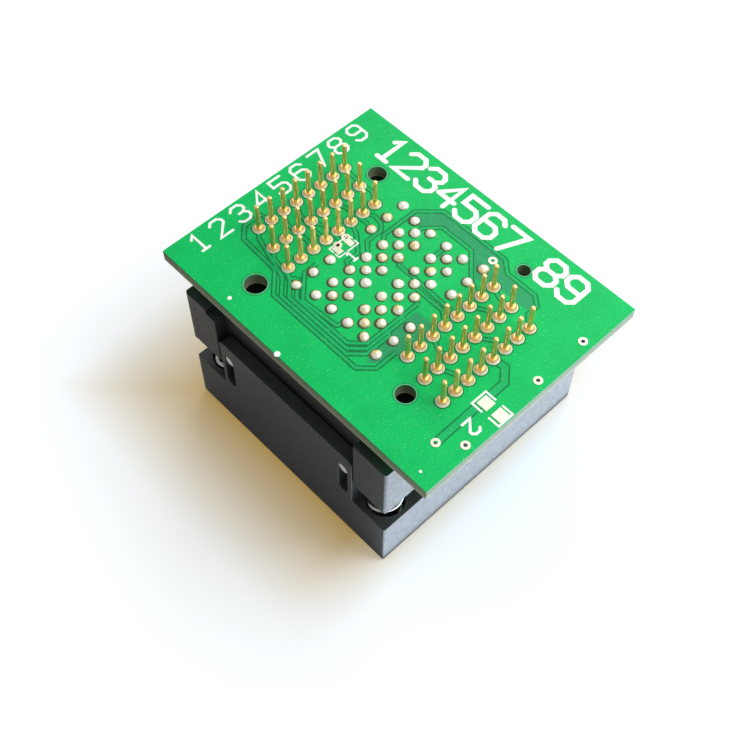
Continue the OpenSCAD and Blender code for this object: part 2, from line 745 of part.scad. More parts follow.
// Outline of the latch on the right shaft, closed: hub, arm with nose, and the forked tail
module latch_outline() {
    tail_half = fork_half + prong_t;
    difference() {
        union() {
            circle(hub_r, $fn = round_fn);
            polygon([
                [-arm_in, 0], [-arm_in, -pad_drop], [-nose_reach, -pad_drop],
                [-nose_reach, -pad_drop - nose_t * 0.6], [-nose_reach + nose_t * 0.7, -pad_drop - nose_t],
                [arm_t - arm_in - nose_bevel, -pad_drop - nose_t],
                [arm_t - arm_in, -pad_drop - nose_t + nose_bevel], [arm_t - arm_in, 0]
            ]);
            rotate(-tail_angle) translate([0, -tail_half]) square([tail_len, 2 * tail_half]);
        }
        circle(shaft_r + latch_run_gap, $fn = round_fn);
        rotate(-tail_angle) {
            translate([drive_reach - fork_gap, -fork_half]) square([tail_len, 2 * fork_half]);
            translate([drive_reach - fork_gap, 0]) circle(fork_half, $fn = round_fn);
        }
    }
}

module latch() {
    translate([shaft_x, 0, shaft_z]) rotate([90, 0, 0])
        linear_extrude(latch_w, center = true) latch_outline();
}

module latch_left() {
    color("#3a3d40") mirror([1, 0, 0]) latch();
}

module latch_right() {
    color("#3a3d40") latch();
}

adapter_board();
pin_pads();
pin_solder_joints();
header_pins_left();
header_pins_right();
contact_solder_joints();
component_pads();
via_rings();
lead_guide();
base_housing();
contact_holder();
contact_barrels();
contact_plungers();
ic_seat();
seat_springs();
shaft_left();
shaft_right();
corner_spring_1();
corner_spring_2();
corner_spring_3();
corner_spring_4();
cover_frame();
drive_pin_left();
drive_pin_right();
latch_left();
latch_right();
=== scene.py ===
import math
import random

import bmesh
import bpy
from mathutils import Euler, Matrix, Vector


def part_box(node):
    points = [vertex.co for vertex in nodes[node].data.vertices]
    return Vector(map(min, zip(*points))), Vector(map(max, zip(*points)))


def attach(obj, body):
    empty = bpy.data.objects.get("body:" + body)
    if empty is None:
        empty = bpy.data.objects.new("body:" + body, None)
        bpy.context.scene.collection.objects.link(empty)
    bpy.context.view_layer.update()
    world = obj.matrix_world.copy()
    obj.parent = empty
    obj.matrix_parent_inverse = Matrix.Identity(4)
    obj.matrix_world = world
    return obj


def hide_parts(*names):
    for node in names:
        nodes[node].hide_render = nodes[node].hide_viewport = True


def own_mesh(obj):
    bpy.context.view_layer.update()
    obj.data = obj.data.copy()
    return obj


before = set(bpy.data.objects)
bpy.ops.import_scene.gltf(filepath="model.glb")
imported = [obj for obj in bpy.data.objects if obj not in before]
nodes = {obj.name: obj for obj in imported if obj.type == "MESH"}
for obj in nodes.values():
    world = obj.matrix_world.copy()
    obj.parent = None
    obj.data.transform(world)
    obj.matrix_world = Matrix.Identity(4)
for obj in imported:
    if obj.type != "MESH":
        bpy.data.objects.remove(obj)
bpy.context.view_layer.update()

MM = 0.001
BOARD_LO, BOARD_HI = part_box("adapter_board")
BOARD_TOP = BOARD_HI.z

# Heights of the printed and etched layers above the board's upper face
GAP_TOP = 0.004 * MM
TRACE_TOP = 0.012 * MM
SILK_TOP = 0.022 * MM
# Every next trace, and every next stroke of a digit, lies this much higher, so that no two share a plane
TRACE_LIFT = 0.0002 * MM
STROKE_LIFT = 0.001 * MM


# ---------------------------------------------------------------- materials

NOISE_ROUGHNESS = 0.55


class Look:
    """A principled material whose varying inputs come from procedural textures in object space."""

    def __init__(self, name, **sockets):
        self.material = bpy.data.materials.new(name)
        self.material.use_nodes = True
        self.tree = self.material.node_tree
        self.shader = self.tree.nodes["Principled BSDF"]
        for socket, value in sockets.items():
            key = socket.replace("_", " ").title().replace("Ior", "IOR")
            self.shader.inputs[key].default_value = value
        self.place = self.add("ShaderNodeTexCoord").outputs["Object"]

    def add(self, kind, **settings):
        node = self.tree.nodes.new(kind)
        for key, value in settings.items():
            setattr(node, key, value)
        return node

    def link(self, source, target):
        self.tree.links.new(source, target)

    def stretched(self, scale):
        mapping = self.add("ShaderNodeMapping")
        mapping.inputs["Scale"].default_value = scale
        self.link(self.place, mapping.inputs["Vector"])
        return mapping.outputs["Vector"]

    def noise(self, size_mm, detail, stretch=(1, 1, 1)):
        node = self.add("ShaderNodeTexNoise")
        node.inputs["Scale"].default_value = 1.0 / (size_mm * MM)
        node.inputs["Detail"].default_value = detail
        node.inputs["Roughness"].default_value = NOISE_ROUGHNESS
        self.link(self.stretched(stretch), node.inputs["Vector"])
        return node.outputs["Fac"]

    def ramp(self, source, *stops):
        """stops are (position, colour) pairs."""
        node = self.add("ShaderNodeValToRGB")
        elements = node.color_ramp.elements
        while len(elements) < len(stops):
            elements.new(1.0)
        for element, (position, colour) in zip(elements, stops):
            element.position = position
            element.color = (*colour, 1)
        self.link(source, node.inputs["Fac"])
        return node.outputs["Color"]

    def span(self, source, low, high, start=0.3, end=0.7):
        """Maps start to end onto low to high; the result stays between the two."""
        node = self.add("ShaderNodeMapRange")
        node.inputs["From Min"].default_value = start
        node.inputs["From Max"].default_value = end
        node.inputs["To Min"].default_value = low
        node.inputs["To Max"].default_value = high
        self.link(source, node.inputs["Value"])
        return node.outputs["Result"]

    def mixed(self, factor, first, second):
        """Blends two colours; each is a node's output or a plain (r, g, b)."""
        node = self.add("ShaderNodeMix", data_type="RGBA")
        self.link(factor, node.inputs["Factor"])
        for index, colour in ((6, first), (7, second)):
            if isinstance(colour, tuple):
                node.inputs[index].default_value = (*colour, 1)
            else:
                self.link(colour, node.inputs[index])
        return node.outputs[2]

    def axes(self, source):
        """The X, Y and Z of a vector, by name."""
        node = self.add("ShaderNodeSeparateXYZ")
        self.link(source, node.inputs[0])
        return node.outputs

    def combined(self, operation, first, second):
        node = self.add("ShaderNodeMath", operation=operation)
        self.link(first, node.inputs[0])
        self.link(second, node.inputs[1])
        return node.outputs[0]

    def colour(self, source):
        self.link(source, self.shader.inputs["Base Color"])

    def rough(self, source):
        self.link(source, self.shader.inputs["Roughness"])

    def bump(self, source, height_mm):
        node = self.add("ShaderNodeBump")
        node.inputs["Distance"].default_value = height_mm * MM
        node.inputs["Strength"].default_value = 1.0
        self.link(source, node.inputs["Height"])
        self.link(node.outputs["Normal"], self.shader.inputs["Normal"])


def tint(colour, factor):
    return tuple(channel * factor for channel in colour)


def mask_look(name, colour, roughness=0.33):
    """Solder mask over copper or laminate: satin green with a fine orange peel and a few pale specks."""
    look = Look(name, roughness=roughness, specular_ior_level=0.16)
    base = look.ramp(look.noise(2.6, 4), (0.3, tint(colour, 0.93)), (0.7, tint(colour, 1.06)))
    fleck = look.ramp(look.noise(0.09, 1), (0.69, (0, 0, 0)), (0.74, (1, 1, 1)))
    pale = look.ramp(look.noise(0.5, 1), (0.0, tint(colour, 1.5)), (1.0, (0.35, 0.72, 0.45)))
    look.colour(look.mixed(fleck, base, pale))
    look.rough(look.span(look.noise(0.8, 3), roughness - 0.06, roughness + 0.1))
    look.bump(look.noise(0.22, 2), 0.006)
    return look.material


def laminate_look():
    """The cut edge of the glass-fibre board: green resin above, brown weave, a pale line at the bottom."""
    waver = 0.35 * MM
    mean_waver = 0.17 * MM
    look = Look("board_edge", roughness=0.6, specular_ior_level=0.3)
    layers = look.add("ShaderNodeMath", operation="MULTIPLY_ADD")
    look.link(look.noise(0.3, 3), layers.inputs[0])
    layers.inputs[1].default_value = waver
    look.link(look.axes(look.place)["Z"], layers.inputs[2])
    level = look.span(layers.outputs[0], 0, 1, BOARD_LO.z + mean_waver, BOARD_HI.z + mean_waver)
    resin = look.ramp(level, (0.04, (0.42, 0.46, 0.3)), (0.16, (0.2, 0.22, 0.14)), (0.6, (0.15, 0.17, 0.1)),
                      (0.78, (0.03, 0.2, 0.08)), (0.95, (0.004, 0.28, 0.09)))
    fibre = look.ramp(look.noise(0.12, 3), (0.3, (0.12, 0.15, 0.09)), (0.8, (0.36, 0.4, 0.28)))
    look.colour(look.mixed(look.span(look.noise(0.5, 2), 0.1, 0.45), resin, fibre))
    look.bump(look.noise(0.12, 3), 0.02)
    return look.material


def metal_look(name, colour, roughness, grain_mm, grain_height, dull=0.8, stretch=(1, 1, 1), metallic=1.0):
    """Bare or plated metal, patchy down to dull times its colour; grain and its height in millimetres."""
    look = Look(name, metallic=metallic, roughness=roughness)
    look.colour(look.ramp(look.noise(grain_mm * 6, 3), (0.3, tint(colour, dull)), (0.65, colour)))
    look.rough(look.span(look.noise(grain_mm * 3, 3, stretch=stretch), roughness * 0.7, roughness * 1.5))
    look.bump(look.noise(grain_mm, 3, stretch=stretch), grain_height)
    return look.material


def plastic_look(name, colour, roughness=0.46):
    """Matt moulded plastic: fine spark-eroded grain with faint rubbed patches."""
    look = Look(name, roughness=roughness, specular_ior_level=0.7)
    base = look.ramp(look.noise(1.6, 2), (0.3, tint(colour, 0.94)), (0.7, tint(colour, 1.06)))
    dust = look.ramp(look.noise(0.11, 1), (0.68, (0, 0, 0)), (0.76, (0.5, 0.5, 0.5)))
    pale = look.ramp(look.noise(0.6, 1), (0.0, tint(colour, 2.2)), (1.0, tint(colour, 3.4)))
    look.colour(look.mixed(dust, base, pale))
    look.rough(look.span(look.noise(0.5, 3), roughness - 0.05, roughness + 0.07))
    look.bump(look.noise(0.16, 2), 0.008)
    return look.material


def silk_look():
    """Screen-printed white ink, thin enough in places for the green to show."""
    look = Look("silk_white", roughness=0.55, specular_ior_level=0.3)
    worn = look.ramp(look.noise(0.16, 3), (0.62, (0, 0, 0)), (0.8, (0.55, 0.55, 0.55)))
    ink = look.ramp(look.noise(1.1, 2), (0.3, (0.80, 0.86, 0.81)), (0.7, (0.88, 0.91, 0.87)))
    under = look.ramp(look.noise(0.7, 1), (0.0, (0.25, 0.6, 0.36)), (1.0, (0.4, 0.72, 0.48)))
    look.colour(look.mixed(worn, ink, under))
    look.bump(look.noise(0.12, 2), 0.006)
    return look.material


def solder_look(name, gilt_from):
    """Tin-lead joints: bright, with some yellowed by flux and gold where the noise passes gilt_from."""
    look = Look(name, metallic=0.5, roughness=0.26)
    bright = look.ramp(look.noise(0.5, 3), (0.3, (0.84, 0.8, 0.66)), (0.6, (1.0, 0.98, 0.88)))
    gilt = look.ramp(look.noise(0.4, 3), (0.3, (0.8, 0.6, 0.28)), (0.65, (1.0, 0.86, 0.56)))
    where = look.ramp(look.noise(1.7, 1), (gilt_from, (0, 0, 0)), (gilt_from + 0.12, (1, 1, 1)))
    look.colour(look.mixed(where, bright, gilt))
    look.rough(look.span(look.noise(0.45, 3), 0.16, 0.42))
    look.bump(look.noise(0.2, 3), 0.014)
    return look.material


def pad_look():
    """Hot-tinned pads and rings: a bright cream film over copper."""
    look = Look("tinned_pads", metallic=0.35, roughness=0.34)
    look.colour(look.ramp(look.noise(0.7, 3), (0.3, (0.72, 0.72, 0.55)), (0.65, (0.84, 0.84, 0.72))))
    look.bump(look.noise(0.3, 2), 0.008)
    return look.material


GREEN = (0.0, 0.46, 0.104)
LOOKS = {
    "mask": mask_look("mask_green", GREEN),
    "gap": mask_look("mask_over_laminate", (0.001, 0.18, 0.046)),
    "bare": mask_look("mask_over_bare_area", (0.018, 0.30, 0.11)),
    "trace": mask_look("mask_over_trace", (0.004, 0.4, 0.11)),
    "rim": mask_look("hole_rim", (0.13, 0.52, 0.26)),
    "ring": mask_look("hole_ring", (0.004, 0.3, 0.085)),
    "edge": laminate_look(),
    "silk": silk_look(),
    "gold": metal_look("gold_plate", (1.0, 0.7, 0.29), 0.25, 0.6, 0.0005, dull=0.86, metallic=0.8),
    "tin": metal_look("tinned_copper", (0.93, 0.86, 0.76), 0.36, 0.12, 0.008, dull=0.92, metallic=0.3),
    "barrel": metal_look("hole_plating", (0.3, 0.31, 0.24), 0.5, 0.1, 0.004),
    "solder": solder_look("solder_alloy", 0.53),
    "pin_solder": solder_look("solder_at_pins", 0.4),
    "pads": pad_look(),
    "flux": mask_look("flux_ring", (0.045, 0.075, 0.028), 0.28),
    "steel": metal_look("ground_steel", (0.93, 0.92, 0.9), 0.36, 0.1, 0.003, stretch=(3, 0.3, 3),
                        metallic=0.5),
    "spring": metal_look("spring_wire", (0.66, 0.66, 0.65), 0.26, 0.08, 0.004),
    "contact": metal_look("contact_gold", (0.9, 0.68, 0.33), 0.3, 0.06, 0.002),
    "housing": plastic_look("housing_black", (0.017, 0.018, 0.02)),
    "cover": plastic_look("cover_black", (0.024, 0.026, 0.029)),
    "holder": plastic_look("holder_black", (0.022, 0.023, 0.025), 0.5),
    "latch": plastic_look("latch_black", (0.03, 0.032, 0.034), 0.4),
}


def dress(node, look):
    slots = nodes[node].data.materials
    slots.clear()
    slots.append(LOOKS[look])


# ---------------------------------------------------------------- mesh helpers

def make_piece(name, mesh_or_bm, look, body, smooth_deg=40, replaces=()):
    """Puts a mesh into the scene as a named piece that rides on a body; replaces names CAD nodes."""
    mesh = mesh_or_bm
    if isinstance(mesh_or_bm, bmesh.types.BMesh):
        mesh = bpy.data.meshes.new(name)
        mesh_or_bm.normal_update()
        mesh_or_bm.to_mesh(mesh)
        mesh_or_bm.free()
    mesh.shade_smooth()
    mesh.set_sharp_from_angle(angle=math.radians(smooth_deg))
    piece = bpy.data.objects.new(name, mesh)
    bpy.context.scene.collection.objects.link(piece)
    mesh.materials.clear()
    mesh.materials.append(LOOKS[look])
    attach(piece, body)
    if replaces:
        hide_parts(*replaces)
    return piece


def prism(bm, outline, z0, z1):
    """A closed prism over a flat outline of (x, y) points, given in millimetres; heights in metres."""
    low = [bm.verts.new((x * MM, y * MM, z0)) for x, y in outline]
    high = [bm.verts.new((x * MM, y * MM, z1)) for x, y in outline]
    count = len(outline)
    area = sum(outline[i - 1][0] * outline[i][1] - outline[i][0] * outline[i - 1][1] for i in range(count))
    if area < 0:
        low.reverse()
        high.reverse()
    bm.faces.new(high)
    bm.faces.new(low[::-1])
    for i in range(count):
        k = (i + 1) % count
        bm.faces.new((low[i], low[k], high[k], high[i]))


# A mitre reaches out no further than the strip's half width divided by this
SHARPEST_MITRE = 0.5


def ribbon_outline(points, half):
    """Outline of a strip along a line of (x, y) points, mitred at its corners."""
    line = [Vector(p) for p in points]
    left, right = [], []
    for i, p in enumerate(line):
        before = (p - line[i - 1]).normalized() if i else None
        after = (line[i + 1] - p).normalized() if i + 1 < len(line) else None
        along = before or after
        if before and after:
            along = (before + after).normalized()
        side = Vector((-along.y, along.x))
        reach = half
        if before and after:
            normal = Vector((-after.y, after.x))
            reach = half / max(SHARPEST_MITRE, side.dot(normal))
        left.append(p + side * reach)
        right.append(p - side * reach)
    return [tuple(p) for p in left + right[::-1]]


def rounded_ribbon(points, half, count=5):
    """A strip like ribbon_outline's with a half round added at each end."""
    outline = ribbon_outline(points, half)
    middle = len(outline) // 2
    ends = []
    for tip, inner in ((points[-1], points[-2]), (points[0], points[1])):
        facing = math.atan2(tip[1] - inner[1], tip[0] - inner[0])
        turns = [facing + math.pi / 2 - math.pi * (k + 1) / (count + 1) for k in range(count)]
        ends.append([(tip[0] + half * math.cos(a), tip[1] + half * math.sin(a)) for a in turns])
    return outline[:middle] + ends[0] + outline[middle:] + ends[1]


def disc_outline(x, y, r, count=32):
    step = 2 * math.pi / count
    return [(x + r * math.cos(i * step), y + r * math.sin(i * step)) for i in range(count)]


def ring_of_revolution(bm, x, y, profile, count, rng=None, wobble=0.0):
    """Turns a (radius, height) profile in metres about an upright axis; wobble varies it round the axis."""
    phases = []
    if rng:
        phases = [(rng.uniform(0, 2 * math.pi), rng.uniform(0.3, 1)) for _ in range(3)]
    rows = []
    for radius, height in profile:
        row = []
        for k in range(count):
            a = 2 * math.pi * k / count
            swell = 1 + wobble * sum(w * math.sin((n + 1) * a + p) for n, (p, w) in enumerate(phases))
            reach = radius * swell
            row.append(bm.verts.new((x + reach * math.cos(a), y + reach * math.sin(a), height)))
        rows.append(row)
    for lower, upper in zip(rows, rows[1:]):
        for k in range(count):
            n = (k + 1) % count
            bm.faces.new((lower[k], lower[n], upper[n], upper[k]))
    return rows


# ---------------------------------------------------------------- board

# Places and sizes on the board are in millimetres. The large holes are (x, y, radius).
BIG_HOLES = [(9.4, -7.45, 0.9), (-9.4, 7.45, 0.9), (7.5, 9.0, 0.62), (-7.5, -9.0, 1.05)]
HOLE_WALL_REACH = 1.2
RIM_DEPTH = 0.01


def dress_board():
    """Mask on the two faces, bare laminate round the edge and in the large holes."""
    mesh = nodes["adapter_board"].data
    mesh.materials.clear()
    mask, edge, barrel = range(3)
    for look in ("mask", "edge", "barrel"):
        mesh.materials.append(LOOKS[look])
    for face in mesh.polygons:
        if abs(face.normal.z) > 0.9:
            face.material_index = mask
            continue
        at = face.center
        to_rim = min(abs(at.x - BOARD_LO.x), abs(at.x - BOARD_HI.x), abs(at.y - BOARD_LO.y),
                     abs(at.y - BOARD_HI.y))
        to_hole = min(math.hypot(at.x - x * MM, at.y - y * MM) for x, y, _ in BIG_HOLES)
        bare = to_rim < RIM_DEPTH * MM or to_hole < HOLE_WALL_REACH * MM
        face.material_index = edge if bare else barrel


# The rows of header pins: the row's x, and how far it is shifted along Y
PIN_ROWS = [(-11.98, 0.5), (-9.44, 0.0), (-6.9, -0.5), (6.9, 0.5), (9.44, 0.0), (11.98, -0.5)]
PINS_PER_ROW = 8
PIN_STEP = 1.5
PIN_XY = [(x, (j - (PINS_PER_ROW - 1) / 2) * PIN_STEP + shift) for x, shift in PIN_ROWS
          for j in range(PINS_PER_ROW)]
CONTACT_XY = (
    [(x, y) for x in (-5, 5) for y in (-6.5, -4.5, -2.5, 2.5, 4.5, 6.5)]
    + [(x, y) for x in (-3, -1, 1, 3) for y in range(-6, 7, 2)]
    + [(x, y) for x in (-2, 2) for y in range(-5, 6, 2)]
)

# The traces side by side below the contacts: the y where each starts, and the left pin where it ends
BUS_ENDS = [(-0.3, (-6.9, -5.75)), (-2.3, (-9.44, -5.25)), (-4.3, (-11.98, -4.75))]
# The first one's y, and where it bends up at its right and left; then how far each next one is from it
BUS_Y, BUS_RIGHT, BUS_LEFT = -7.45, 3.65, -3.9
BUS_STEP_Y, BUS_STEP_RIGHT, BUS_STEP_LEFT = 0.4, 0.36, 0.55
BUS_BEND = 1.2


def bottom_set():
    """Traces that run side by side below the contact field and out to the left pins."""
    lines = []
    for k, (start_y, (pin_x, pin_y)) in enumerate(BUS_ENDS):
        y = BUS_Y - BUS_STEP_Y * k
        right = BUS_RIGHT + BUS_STEP_RIGHT * k
        left = BUS_LEFT - BUS_STEP_LEFT * k
        lines.append([(right, start_y), (right, y + BUS_BEND), (right - BUS_BEND, y), (left, y),
                      (left - 1.5, y + 1.45), (pin_x + 0.9, pin_y - 0.75), (pin_x, pin_y)])
    return lines


TRACES = [
    [(-3, 2), (-3.8, 2.9), (-3.8, 6.8), (-2, 8.7), (5.55, 8.7), (6.75, 7.7), (9.95, 7.7), (10.9, 6.95),
     (10.9, 5.8), (11.98, 4.75)],
    [(-2, 5), (-2, 5.9), (-0.75, 7.26), (2.8, 7.26), (5.2, 4.75), (6.2, 4.25), (6.9, 4.25)],
    [(1, 6), (1, 4)],
    [(-1, 2), (-0.4, 1.45), (1.3, 1.45), (5.4, 1.3), (6.9, 1.25)],
    [(2, 1), (2.5, 0.75), (5.6, 0.75), (6.9, -0.25)],
    [(3, 0), (3.65, -0.3)], [(3, -2), (4.0, -2.3)], [(3, -4), (4.37, -4.3)],
    [(-5.5, -3.7), (-5.5, -5.1), (-3.4, -7.2), (0.5, -6.9), (1, -6)],
    [(-6.9, 3.25), (-5.9, 3.8), (-4.9, 3.6), (-4.3, 3.0), (-4.3, 1.3), (-3.4, 0.5), (-3, 0)],
    [(-6.9, 1.75), (-5.6, 1.2), (-3.9, -0.2), (-3.9, -1.6), (-3, -2)],
    [(-6.9, 4.75), (-8.1, 5.6), (-10.4, 5.6), (-11.98, 5.75)],
    [(-9.44, 2.25), (-8.2, 2.6), (-5.9, 2.7), (-5.0, 2.5)],
    [(-9.44, -0.75), (-8.2, -0.3), (-6.1, -0.4)],
    [(-11.98, -0.25), (-10.7, -1.0), (-8.4, -1.3), (-6.9, -1.25)],
    [(-11.98, -1.75), (-10.7, -2.6), (-8.2, -2.5), (-6.9, -2.75)],
    [(6.9, 2.75), (8.2, 3.5), (9.44, 3.75)],
    [(6.9, -1.75), (8.2, -2.4), (9.44, -2.25)],
    [(9.44, 0.75), (10.7, 1.6), (11.98, 1.75)],
    [(9.44, -3.75), (10.7, -3.2), (11.98, -2.75)],
    [(6.9, 5.75), (8.2, 5.2), (9.44, 5.25)],
] + bottom_set() + [
    [(5.95, -5.2), (5.95, -7.45), (4.75, -8.65), (-5.55, -8.65), (-7.55, -6.75), (-12.0, -6.5),
     (-13.1, -5.5), (-13.1, -3.6), (-11.98, -3.25)],
]
WIDE_TRACES = [
    [(11.98, 0.25), (13.2, 0.4), (14.25, -0.8), (14.25, -2.8)],
    [(14.25, -3.9), (14.3, -8.9)],
]
BARE_AREAS = [
    [(-3.4, 6.6), (-1.9, 8.45), (5.4, 8.45), (6.6, 7.45), (9.8, 7.45), (10.6, 6.9), (10.6, 6.0), (6.3, 6.0),
     (5.2, 5.2), (2.95, 7.5), (-0.9, 7.5), (-2.6, 5.6)],
    [(4.1, -0.9), (6.2, -0.9), (6.2, -6.6), (5.0, -7.6), (4.1, -6.6)],
]
TRACE_HALF = 0.125
WIDE_HALF = 0.3
GAP = 0.14
PIN_GAP_R = 0.72
# Every layer on the board starts this far inside it
LAYER_FOOT = BOARD_TOP - GAP_TOP


def add_traces():
    """Traces under the mask: a dark etched gap on each side, and darker areas without copper."""
    bare, gaps, cores = bmesh.new(), bmesh.new(), bmesh.new()
    for outline in BARE_AREAS:
        prism(bare, outline, LAYER_FOOT, BOARD_TOP + GAP_TOP)
    for lines, half in ((TRACES, TRACE_HALF), (WIDE_TRACES, WIDE_HALF)):
        for n, line in enumerate(lines):
            lift = TRACE_LIFT * n
            prism(gaps, ribbon_outline(line, half + GAP), LAYER_FOOT, BOARD_TOP + 1.3 * GAP_TOP + lift)
            prism(cores, ribbon_outline(line, half), LAYER_FOOT, BOARD_TOP + TRACE_TOP + lift)
    for n, (x, y) in enumerate(PIN_XY):
        prism(gaps, disc_outline(x, y, PIN_GAP_R), LAYER_FOOT, BOARD_TOP + 2.4 * GAP_TOP + TRACE_LIFT * n)
    make_piece("bare_areas", bare, "bare", "base")
    make_piece("etched_gaps", gaps, "gap", "base")
    make_piece("etched_traces", cores, "trace", "base")


def flat_ring(bm, x, y, inner, outer, z0, z1, count=48):
    """A thin washer round x, y; radii in millimetres, heights in metres."""
    corners = [(inner * MM, z0), (outer * MM, z0), (outer * MM, z1), (inner * MM, z1)]
    ring_of_revolution(bm, x * MM, y * MM, corners + corners[:1], count)
    bmesh.ops.remove_doubles(bm, verts=bm.verts, dist=1e-8)


# Widths round a drilled hole: where the pale rim starts and ends, and the dark ring after it
PALE_RIM = (0.002, 0.07)
DARK_RING = (0.075, 0.22)


def add_hole_rims():
    """Each drilled hole breaks the mask in a pale rim, with a thin dark ring round it."""
    rims, rings = bmesh.new(), bmesh.new()
    for x, y, r in BIG_HOLES:
        flat_ring(rims, x, y, r + PALE_RIM[0], r + PALE_RIM[1], LAYER_FOOT, BOARD_TOP + TRACE_TOP)
        flat_ring(rings, x, y, r + DARK_RING[0], r + DARK_RING[1], LAYER_FOOT, BOARD_TOP + GAP_TOP)
    make_piece("hole_rims", rims, "rim", "base")
    make_piece("hole_rings", rings, "ring", "base")


FLUX_R = 0.55
FLUX_SPREAD = 0.05
FLUX_SHIFT = 0.05


def add_flux_rings():
    """Dark rims of flux and bare laminate round the contact joints."""
    rng = random.Random(11)
    rims = bmesh.new()
    for x, y in CONTACT_XY:
        outline = disc_outline(x - FLUX_SHIFT, y - FLUX_SHIFT, FLUX_R + rng.uniform(0, FLUX_SPREAD), 28)
        prism(rims, outline, LAYER_FOOT, BOARD_TOP + TRACE_TOP + rng.uniform(0.002, 0.006) * MM)
    make_piece("flux_rims", rims, "flux", "base")


JOINT_R = 0.5
JOINT_LEAN = 0.07
JOINT_LEVELS = 9
# Below 1, a joint's side stands steeper than a ball's
JOINT_FULLNESS = 0.8


def add_contact_joints():
    """Hand-soldered joints: each dome leans, swells and peaks a little differently."""
    rng = random.Random(7)
    lo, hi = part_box("contact_solder_joints")
    bm = bmesh.new()
    for x, y in CONTACT_XY:
        radius = JOINT_R * MM * rng.uniform(0.9, 1.0)
        height = (hi.z - lo.z) * rng.uniform(0.78, 1.0)
        lean = Vector((rng.uniform(-1, 1), rng.uniform(-1, 1))) * JOINT_LEAN * MM
        profile = [(radius, lo.z)]
        for i in range(1, JOINT_LEVELS):
            turn = i / JOINT_LEVELS * math.pi / 2
            profile.append((radius * math.cos(turn) ** JOINT_FULLNESS, lo.z + height * math.sin(turn)))
        rows = ring_of_revolution(bm, x * MM, y * MM, profile, 24, rng, 0.03)
        for i, row in enumerate(rows):
            for vert in row:
                vert.co.x += lean.x * i / JOINT_LEVELS
                vert.co.y += lean.y * i / JOINT_LEVELS
        tip = bm.verts.new((x * MM + lean.x, y * MM + lean.y, lo.z + height))
        last = rows[-1]
        for k in range(len(last)):
            bm.faces.new((last[k], last[(k + 1) % len(last)], tip))
        bm.faces.new(rows[0][::-1])
    make_piece("contact_joints", bm, "solder", "base", 60, ["contact_solder_joints"])


FILLET_R = 0.57
FILLET_FOOT = 0.01
# The fillet's side: (radius in millimetres, share of its rise)
FILLET_SIDE = [(FILLET_R * 0.96, 0.3), (FILLET_R * 0.88, 0.62), (0.47, 0.9), (0.44, 1), (0.4, 1)]


def add_pin_fillets():
    """Solder that has crept up from each pad to the pin's collar."""
    rng = random.Random(5)
    pad_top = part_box("pin_pads")[1].z
    foot = pad_top - FILLET_FOOT * MM
    bm = bmesh.new()
    for x, y in PIN_XY:
        rise = rng.uniform(0.12, 0.2) * MM
        profile = [(FILLET_R * MM, foot)] + [(r * MM, pad_top + share * rise) for r, share in FILLET_SIDE]
        rows = ring_of_revolution(bm, x * MM, y * MM, profile, 28, rng, 0.02)
        inner = [bm.verts.new((v.co.x, v.co.y, foot)) for v in rows[-1]]
        count = len(inner)
        for k in range(count):
            n = (k + 1) % count
            bm.faces.new((rows[-1][k], rows[-1][n], inner[n], inner[k]))
            bm.faces.new((inner[k], inner[n], rows[0][n], rows[0][k]))
    make_piece("pin_fillets", bm, "pin_solder", "base", 50)


# ---------------------------------------------------------------- print on the board

# Each digit is drawn in strokes on a grid 4 wide and 6 high
STROKES = {
    "1": [[(0.8, 4.8), (2, 6), (2, 0)], [(0.8, 0), (3.2, 0)]],
    "2": [[(0, 5), (1, 6), (3, 6), (4, 5), (4, 4), (0, 0), (4, 0)]],
    "3": [[(0, 5), (1, 6), (3, 6), (4, 5), (4, 4), (3, 3.1), (1.6, 3.1)],
          [(3, 3.1), (4, 2.2), (4, 1), (3, 0), (1, 0), (0, 1)]],
    "4": [[(3, 0), (3, 6), (0, 2)], [(0, 2), (4, 2)]],
    "5": [[(4, 6), (0, 6), (0, 3.6), (3, 3.6), (4, 2.7), (4, 1), (3, 0), (1, 0), (0, 1)]],
    "6": [[(4, 5), (3, 6), (1, 6), (0, 5), (0, 1), (1, 0), (3, 0), (4, 1), (4, 2.4), (3, 3.4)],
          [(3, 3.4), (0, 3.4)]],
    "7": [[(0, 6), (4, 6), (1.4, 0)]],
    "8": [[(1, 3.1), (0, 4), (0, 5), (1, 6), (3, 6), (4, 5), (4, 4), (3, 3.1)], [(3, 3.1), (1, 3.1)],
          [(1, 3.1), (0, 2.2), (0, 1), (1, 0), (3, 0), (4, 1), (4, 2.2), (3, 3.1)]],
    "9": [[(0, 1), (1, 0), (3, 0), (4, 1), (4, 5), (3, 6), (1, 6), (0, 5), (0, 3.8), (1, 2.9)],
          [(1, 2.9), (4, 2.9)]],
}


def printed_digit(bm, digit, x, y, height, half, turn=0):
    """A digit in plain strokes, centred on x, y; turn is its angle in degrees."""
    unit = height / 6
    cos, sin = math.cos(math.radians(turn)), math.sin(math.radians(turn))
    for n, stroke in enumerate(STROKES[digit]):
        line = []
        for u, v in stroke:
            a, b = (u - 2) * unit, (v - 3) * unit
            line.append((x + a * cos - b * sin, y + a * sin + b * cos))
        prism(bm, rounded_ribbon(line, half), BOARD_TOP, BOARD_TOP + SILK_TOP + n * STROKE_LIFT)


def printed_box(bm, x0, y0, x1, y1, opening, half=0.09):
    """Two facing brackets round a pair of component pads; opening is the gap left in the long sides."""
    mid = (x0 + x1) / 2
    for side, outer in ((-1, x0), (1, x1)):
        line = [(mid + side * opening, y0), (outer, y0), (outer, y1), (mid + side * opening, y1)]
        prism(bm, ribbon_outline(line, half), BOARD_TOP, BOARD_TOP + SILK_TOP)


DIGITS = "123456789"
